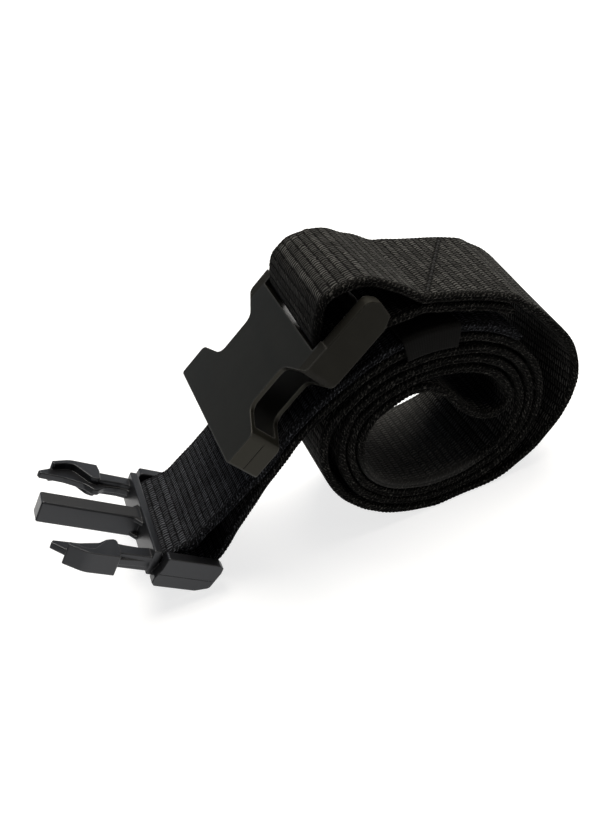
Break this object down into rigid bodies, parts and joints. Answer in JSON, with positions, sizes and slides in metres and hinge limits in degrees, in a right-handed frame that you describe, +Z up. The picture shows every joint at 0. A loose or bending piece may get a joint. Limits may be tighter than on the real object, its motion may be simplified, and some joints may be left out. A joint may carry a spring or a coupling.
{
  "type": "tactical belt",
  "caption": "Thick ribbed webbing belt folded at its middle and rolled up, with an undone side-release buckle on its ends, a ladder adjuster and a tail keeper.",
  "frame": {"origin": "middle of the bounding box, on the surface that the roll rests on", "axes": "+X from the plug's side to the roll's right, +Y along the roll's axis away from the end that shows the plies, +Z up"},
  "size_m": [0.21, 0.0736, 0.1101],
  "materials": {
    "webbing": "heavy ribbed webbing, black",
    "buckle_plastic": "moulded acetal, black, satin",
    "plug_plastic": "moulded acetal, black, satin",
    "keeper_band": "smooth elastic band, black"
  },
  "bodies": {
    "root": {"strap_sewn_end": "webbing", "strap_outer_wrap": "webbing", "strap_middle": "webbing", "strap_tail": "webbing", "buckle_socket": "buckle_plastic", "buckle_plug": "plug_plastic", "tail_keeper": "keeper_band"}
  },
  "joints": []
}
